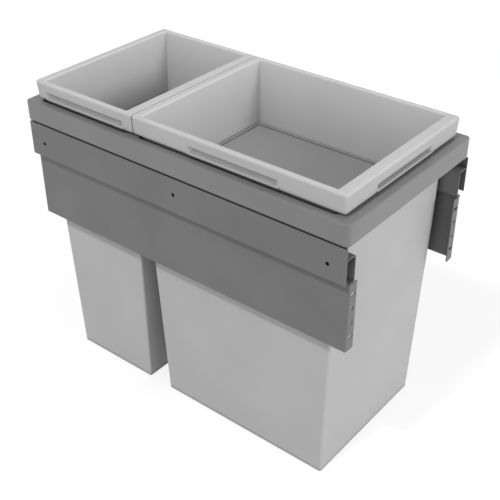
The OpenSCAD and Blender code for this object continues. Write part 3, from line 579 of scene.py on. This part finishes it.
def makeBin(name, part):
    # Every row is a rounded rectangle at one height, drawn in by an amount that follows the section: straight
    # lines for the walls, quarter circles for the edges (radius less radius times cosine), and on the rim's
    # outer face the grip's depth times a weight that is 1 along the grip and falls to 0 at its two ends.
    shape = binShape
    front, back = part["rimY"]
    middle = (front + back) / 2
    gripInFront = part["gripEnd"] < 0
    corner = (shape["rimCorner"], shape["splitCorner"])
    corner = corner if gripInFront else corner[::-1]
    sideY = spread(front + corner[0], back - corner[1], part["sideGrip"], shape["gripFlare"], middle)
    endX = spread(shape["rimCorner"] - shape["rimX"], shape["rimX"] - shape["rimCorner"], shape["endGrip"],
                  shape["gripFlare"], 0)
    sideShare = (sideY - front - corner[0]) / (back - front - corner[0] - corner[1])
    endShare = (endX - endX[0] + runEnd) / (endX[-1] - endX[0] + 2 * runEnd)
    out = outwards(len(sideY), len(endX))
    quiet = np.zeros(cornerSteps + 1)

    # the recess's weight falls to 0 over the flare at its ends; the lip ends bluntly
    def weights(places, centre, length):
        off = np.abs(places - centre)
        inLip = off < length / 2 + shape["lipReach"]
        return np.clip((length / 2 - off) / shape["gripFlare"], 0, 1), inLip.astype(float)

    # values along the sides and the two ends in the loop's order, 0 at the corners
    def around(side, atBack, atFront):
        return np.concatenate([side, quiet, atBack[::-1], quiet, side[::-1], quiet, atFront, quiet])

    sideRamp, sideLip = weights(sideY, middle, part["sideGrip"])
    endRamp, endLip = weights(endX, 0, shape["endGrip"])
    none = np.zeros(len(endX))
    ramp = around(sideRamp, none, endRamp) if gripInFront else around(sideRamp, endRamp, none)
    lip = around(sideLip, none, endLip) if gripInFront else around(sideLip, endLip, none)
    sideOnes, endOnes = np.ones(len(sideY)), np.ones(len(endX))
    padding = around(shape["sidePad"] * sideOnes, shape["endPad"] * endOnes, shape["endPad"] * endOnes)
    deep = around(shape["sideGripDepth"] * sideOnes, shape["endGripDepth"] * endOnes,
                  shape["endGripDepth"] * endOnes)

    def bodyRow(z, inset):
        radius = max(shape["bodyCorner"] - inset, shape["leastBody"])
        return lift(evenLoop(*wallFaces(part, z, inset), radius, sideShare, endShare), z)

    def rimRow(height, inset, splitInset, grip=0.0, lipShare=0.0, recessHeight=None, pad=0.0):
        # outer faces lean out with height, the split face stays upright; then the recess is pressed in
        grow = shape["rimDraft"] * height / shape["rimHeight"] - inset
        big = max(shape["rimCorner"] - inset, shape["leastRim"])
        small = max(shape["splitCorner"] - splitInset, shape["leastSplit"])
        if gripInFront:
            y0, y1, r0, r1 = front - grow, back - splitInset, big, small
        else:
            y0, y1, r0, r1 = front + splitInset, back + grow, small, big
        x = shape["rimX"] + grow
        widest = max(r0, r1)
        points = loop(x, y0, y1, r0, r1, np.clip(sideY, y0 + r0, y1 - r1),
                      np.clip(endX, -x + widest, x - widest))
        inwards = np.minimum(deep * grip, deep * ramp) - shape["lipOut"] * lip * lipShare
        inwards = inwards + padding * ramp * pad
        level = height + (0 if recessHeight is None else (recessHeight - height) * ramp)
        return lift(points - out * inwards[:, None], rimFoot + level)

    # the underside with its sunk middle, the base's rounded edge and the wall
    edge, footInset, footEdge = shape["baseEdge"], shape["footInset"], shape["footEdge"]
    quarter = np.linspace(0, math.pi / 2, shape["edgePlaces"])
    rows = [bodyRow(shape["footDepth"], footInset), bodyRow(footEdge, footInset),
            bodyRow(0.0, footInset - footEdge), bodyRow(0.0, edge + shape["baseHold"])]
    rows += [bodyRow(edge * (1 - math.cos(a)), edge * (1 - math.sin(a))) for a in quarter]
    rows += [bodyRow(z, 0.0) for z in (edge + hold, *wallLevels, rimFoot, rimUnder - hold)]
    # the rim from behind, round its foot and up its outer face, whose lowest row is drawn in by its height
    rimWall = shape["rimWall"]
    rows += [rimRow(shape["rimHeight"] - rimWall, rimWall, rimWall)]
    rows += [rimRow(height, rimWall, rimWall, pad=pad) for height, pad in backRows]
    rows += [rimRow(height, rimWall - away, rimWall - away, pad=1) for height, away in footRows]
    rows += [rimRow(0.0, shape["rimFootEdge"], shape["rimFootEdge"], lipShare=1)]
    for k, (plain, inRecess, grip, lipShare) in enumerate(skirtRows):
        drawnIn = plain if k == 0 else 0.0
        rows.append(rimRow(plain, drawnIn, drawnIn, grip, lipShare, inRecess))
    # the upper edge is a quarter circle on the outer faces and a smaller one at the split
    top, r, splitEdge = shape["height"], shape["rimEdge"], shape["splitEdge"]
    for a in np.radians(rimTurns):
        z = top - r * (1 - math.sin(a))
        drop = splitEdge - (top - z)
        atSplit = splitEdge - math.sqrt(max(splitEdge ** 2 - drop ** 2, 0)) if drop > 0 else 0.0
        rows.append(rimRow(z - rimFoot, r * (1 - math.cos(a)), atSplit))
    # the mouth's edge, of which the first two rows still count as outside, and the inside down to the floor
    mouth, wall, floor = shape["mouthEdge"], shape["wall"], shape["floor"]
    outerRows = len(rows) + 2
    for a in np.radians(mouthTurns):
        rows.append(bodyRow(top - mouth * (1 - math.sin(a)), wall - mouth * (1 - math.cos(a))))
    rows += [bodyRow(z, wall) for z in (top - mouth - hold, *innerLevels, floor + edge + hold)]
    rows += [bodyRow(floor + edge * (1 - math.cos(a)), wall + edge * (1 - math.sin(a)))
             for a in quarter[::-1]]
    rows += [bodyRow(floor, wall + edge + hold)]

    points, faces = join([loft(rows)] + makeLugs(part))
    # the inner rows' value for the painted light and shade inside the bin: 0.5 at the mouth, 1 at the lid
    depth = np.clip((top - points[:, 2]) / (top - lidShape["z"]), 0, 1)
    inward = np.arange(len(points)) >= outerRows * len(rows[0])
    piece = makePiece(name + "_moulding", points, faces, "bin", inside=inward * (0.5 + 0.5 * depth))
    closeMesh(piece.data)
    smooth(piece.data, sharpAngle)
    fitPiece(piece, name, name)
    return piece


for name, part in bins.items():
    made = makeBin(name, part)
    print(name, "ready:", len(made.data.polygons), "faces")


# Lids: a plate with a raised border, a groove inside it and a finger notch on the left.
def biteNotch(piece, x, y):
    # the notch is a round bite out of the edge, from below the plate to above its border
    shape = lidShape
    turn = np.linspace(0, 2 * math.pi, shape["notchPoints"], endpoint=False)
    circle = np.stack([x + shape["notch"] * np.cos(turn), y + shape["notch"] * np.sin(turn)], 1)
    rows = [lift(circle, shape["z"] + height) for height in shape["notchHeights"]]
    bite = makePiece("bite", *loft(rows), "lid")
    cut = piece.modifiers.new("notch", "BOOLEAN")
    cut.operation = "DIFFERENCE"
    cut.object = bite
    bpy.context.view_layer.objects.active = piece
    with bpy.context.temp_override(object=piece, active_object=piece):
        bpy.ops.object.modifier_apply(modifier=cut.name)
    bpy.data.objects.remove(bite)


def makeLid(name, part):
    # the section is carried round the plate: each of its points is one rounded rectangle
    shape = lidShape
    x, y0, y1 = wallFaces(part, shape["z"], binShape["wall"] + shape["gap"])
    across = np.linspace(0, 1, shape["places"])
    thick, e, b, g = shape["thick"], shape["edge"], shape["border"], shape["border"] + shape["groove"]
    top, low = thick + shape["borderHeight"], thick - shape["grooveDepth"]
    f, h = shape["grooveEdge"], shape["grooveStep"]
    # the section from the middle of the underside round to the middle of the plate: inset, height
    section = [(e + f, 0), (e, 0), (0.3 * e, 0.1 * e), (0, e),
               (0, top - e), (0.1 * e, top - 0.35 * e), (0.35 * e, top - 0.1 * e), (e, top),
               (b - e, top), (b - 0.35 * e, top - 0.1 * e), (b - 0.1 * e, top - 0.35 * e), (b, top - e),
               (b, low + f), (b + h, low + h), (b + f, low), (g - f, low), (g - h, low + h), (g, low + f),
               (g, thick - f), (g + h, thick - h), (g + f, thick), (g + 2 * f, thick)]
    rows = []
    for inset, height in section:
        outline = evenLoop(x - inset, y0 + inset, y1 - inset, shape["corner"], across, across)
        rows.append(lift(outline, shape["z"] + height))
    piece = makePiece(name + "_plate", *loft(rows), "lid")
    closeMesh(piece.data)
    biteNotch(piece, -x, (y0 + y1) / 2)
    smooth(piece.data, sharpAngle)
    fitPiece(piece, name, name)


for lidName, binName in (("large_lid", "large_bin"), ("small_lid", "small_bin")):
    makeLid(lidName, bins[binName])
print("lids ready")


# Ring: a skirt with a rounded upper edge, a flat deck with an opening and a hanging lip for each bin.
ringShape = {
    "halfX": 131.2, "front": -252.5, "back": 252.5, "deckZ": 398.0, "height": 26.9, "wall": 2.5,
    "corner": 5.0, "leastCorner": 0.6, "places": 25, "edge": 2.0, "edgeHold": 0.3,
    "lip": 10.0, "lipChamfer": 0.4, "binGap": 1.5, "sideIn": -0.5, "holeCorner": 4.5,
    "standWall": 2.5, "standInner": 5.0, "standOuter": 4.0, "seatGap": 0.3,
    "gussetInset": 6.0, "gussetHalf": 0.8, "gussetReach": 2.0, "gussetShare": 0.7,
    "webWall": 0.8, "webHang": 4.6, "webSunk": 0.1,
    "ribStart": 22.0, "ribPitch": 40.0, "ribWall": 1.8,
    "footCount": 4, "footLength": 14.0, "footInset": 55.0, "footWidth": 8.0, "footX": 119.7,
    "pocketTop": 355.6, "sheet": 1.2, "tongue": 2.8, "nose": 1.5, "hookReach": 1.2,
}
ringBase = ringShape["deckZ"] - ringShape["height"]
deckUnder = ringShape["deckZ"] - ringShape["wall"]


def sideBlock(s, near, far, y0, y1, z0, z1):
    # a block between two distances from the middle, on the side s
    return block(*sorted((s * near, s * far)), y0, y1, z0, z1)


def ringShell():
    # The skirt and the hanging lips are rounded rectangles stacked over their section; the edge's rows lie on
    # a quarter circle, at radius times sine in height and radius times cosine across.
    shape = ringShape
    deck, under, base = shape["deckZ"], deckUnder, ringBase
    wall, edge, edgeHold = shape["wall"], shape["edge"], shape["edgeHold"]
    shares = np.linspace(0, 1, shape["places"])

    def outerRow(z, inset):
        radius = max(shape["corner"] - inset, shape["leastCorner"])
        halfX, front, back = shape["halfX"] - inset, shape["front"] + inset, shape["back"] - inset
        return lift(evenLoop(halfX, front, back, radius, shares, shares), z)

    def holeRow(part, z, grow):
        _, front, back = wallFaces(part, deck)
        return lift(evenLoop(binShape["rimX"] - shape["sideIn"] + grow, front - shape["binGap"] - grow,
                             back + shape["binGap"] + grow, shape["holeCorner"] + grow, shares, shares), z)

    # the skirt's inner face, its foot (height over the foot, inset) and its outer face
    foot = ((0.5, wall), (0.1, wall - 0.2), (0, wall - 0.6), (0, 0.5), (0.15, 0.15), (0.5, 0), (1, 0))
    skirt = [outerRow(under, wall)] + [outerRow(base + height, inset) for height, inset in foot]
    skirt += [outerRow(deck - edge - edgeHold, 0)]
    skirt += [outerRow(deck - edge * (1 - math.sin(a)), edge * (1 - math.cos(a)))
              for a in np.radians(np.arange(0, 91, 10))]
    skirt += [outerRow(deck, edge + edgeHold)]
    parts = [loft(skirt, capFirst=False, capLast=False)]
    # the opening's broken edge (depth under the deck, growth of the opening) and the hanging lip below it
    mouth = ((0, 0.9), (0, 0.6), (0.08, 0.3), (0.3, 0.08), (0.6, 0))
    lipFoot, chamfer = deck - shape["lip"], shape["lipChamfer"]
    for part in bins.values():
        rows = [holeRow(part, deck - depth, grow) for depth, grow in mouth]
        rows += [holeRow(part, lipFoot + chamfer, 0), holeRow(part, lipFoot, chamfer),
                 holeRow(part, lipFoot, wall - chamfer), holeRow(part, lipFoot + chamfer, wall),
                 holeRow(part, under, wall)]
        parts.append(loft(rows, capFirst=False, capLast=False))
    # the deck's two flat faces lie between the outer loop and the two openings
    for level, inset, grow in ((deck, edge + edgeHold, mouth[0][1]), (under, wall, wall)):
        loops = [outerRow(level, inset)] + [holeRow(part, level, grow) for part in bins.values()]
        flat = tessellate_polygon([[Vector(p) for p in row] for row in loops])
        parts.append((np.concatenate(loops), [list(face) for face in flat]))
    return parts


def ringStands():
    # upright stands under the rims' four corners, each with two gussets
    shape = ringShape
    deck = shape["deckZ"] - overlap
    standTop = rimUnder - shape["seatGap"]
    parts = []
    for part in bins.values():
        wallX, front, back = wallFaces(part, shape["deckZ"])
        x0 = binShape["endGrip"] / 2 + shape["standInner"]
        x1 = wallX - binShape["bodyCorner"] - shape["standOuter"]
        gussetTop = shape["deckZ"] + shape["gussetShare"] * (standTop - shape["deckZ"])
        for s in (-1, 1):
            for y, way in ((front - shape["binGap"], -1), (back + shape["binGap"], 1)):
                parts.append(sideBlock(s, x0, x1, *sorted((y, y + way * shape["standWall"])), deck, standTop))
                foot = y + way * (shape["standWall"] - overlap)
                tip = y + way * (shape["standWall"] + shape["gussetReach"])
                for x in (x0 + shape["gussetInset"], x1 - shape["gussetInset"]):
                    parts.append(prism([[foot, deck], [foot, gussetTop], [tip, deck]], 0,
                                       s * x - shape["gussetHalf"], s * x + shape["gussetHalf"]))
    return parts


def ringUnderside():
    # a thin web behind each side of the skirt hangs past the rail's upper edge, a sheet put where there is
    # only shade: the ring's painted gap shade darkens it, so the gap there looks black; ribs brace the skirt,
    # and four feet a side hook into the side panels
    shape = ringShape
    under = deckUnder + overlap
    skirtX = shape["halfX"] - shape["wall"] + overlap
    webInner, webFoot = skirtX - shape["webWall"], ringBase - shape["webHang"]
    webFront = shape["front"] + shape["wall"] - shape["webSunk"]
    webBack = shape["back"] - shape["wall"] + shape["webSunk"]
    parts = [sideBlock(s, webInner, skirtX, webFront, webBack, webFoot, under) for s in (-1, 1)]
    firstRib, lastRib = shape["front"] + shape["ribStart"], shape["back"] - shape["ribStart"]
    step = (shape["back"] - shape["front"] - 2 * shape["footInset"]) / (shape["footCount"] - 1)
    near, far = shape["footX"], shape["footX"] + shape["footWidth"]
    tongue = far - shape["tongue"]
    top, hook = shape["pocketTop"], shape["pocketTop"] - shape["sheet"]
    nose = hook - shape["nose"]
    for s in (-1, 1):
        for y in np.arange(firstRib, lastRib, shape["ribPitch"]):
            parts.append(sideBlock(s, binShape["rimX"], skirtX, y, y + shape["ribWall"],
                                   shape["deckZ"] - shape["lip"], under))
        for k in range(shape["footCount"]):
            y = shape["front"] + shape["footInset"] + k * step
            y0, y1 = y - shape["footLength"] / 2, y + shape["footLength"] / 2
            parts.append(sideBlock(s, near, far, y0, y1, top, under))
            parts.append(sideBlock(s, tongue, far, y0, y1, nose, top + overlap))
            parts.append(prism([[s * (tongue + overlap), hook], [s * (tongue - shape["hookReach"]), hook],
                                [s * (tongue + overlap), nose]], 1, y0, y1))
    return parts


ring = makePiece("ring_moulding", *join(ringShell() + ringStands() + ringUnderside()), "ring")
closeMesh(ring.data)
smooth(ring.data, sharpAngle)
fitPiece(ring, "ring_frame", "carriage")
print("ring ready:", len(ring.data.polygons), "faces")


# Steel parts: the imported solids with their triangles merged, smooth round the bends, with fine broken edges.
# Each look has its slot, the width of the broken edges in mm and its nodes.
steelParts = {
    "coated": ("coated_steel", 0.22, ["cabinet_rail_left", "cabinet_rail_right", "side_panel_left",
                                      "side_panel_right", "back_rail"]),
    "rivet": ("rivet_steel", 0.25, ["back_rail_rivets"]),
    "zinc": ("zinc_steel", 0.15, ["outer_runner_left", "outer_runner_right", "middle_runner_left",
                                  "middle_runner_right", "inner_runner_left", "inner_runner_right"]),
}
steelAngles = {"flat": 0.6, "sharp": 30, "broken": 50}    # degrees


def dressSteel(node, look, edge):
    data = nodes[node].data.copy()
    data.name = node + "_finish"
    solid = bmesh.new()
    solid.from_mesh(data)
    bmesh.ops.remove_doubles(solid, verts=solid.verts, dist=weld * mm)
    bmesh.ops.dissolve_limit(solid, angle_limit=math.radians(steelAngles["flat"]), verts=solid.verts,
                             edges=solid.edges)
    solid.to_mesh(data)
    solid.free()
    data.materials.clear()
    data.materials.append(looks[look])
    smooth(data, steelAngles["sharp"])
    piece = bpy.data.objects.new(node + "_finish", data)
    bpy.context.scene.collection.objects.link(piece)
    broken = piece.modifiers.new("brokenEdges", "BEVEL")
    broken.width = edge * mm
    broken.segments = 2
    broken.limit_method = "ANGLE"
    broken.angle_limit = math.radians(steelAngles["broken"])
    broken.use_clamp_overlap = True
    broken.harden_normals = True
    fitPiece(piece, node, nodes[node]["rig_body"])


for look, (slot, edge, names) in steelParts.items():
    for name in names:
        dressSteel(name, look, edge)

# The small parts keep their solids and take a finish.
smallParts = {
    "zinc": ["outer_cage_left", "outer_cage_right", "inner_cage_left", "inner_cage_right"],
    "ball": ["outer_balls_left", "outer_balls_right", "inner_balls_left", "inner_balls_right"],
    "rubber": ["stop_buffer_left", "stop_buffer_right"],
}
for look, names in smallParts.items():
    for name in names:
        data = nodes[name].data
        data.materials.clear()
        data.materials.append(looks[look])
print("steel and small parts ready")

bpy.context.scene.view_settings.view_transform = "Standard"
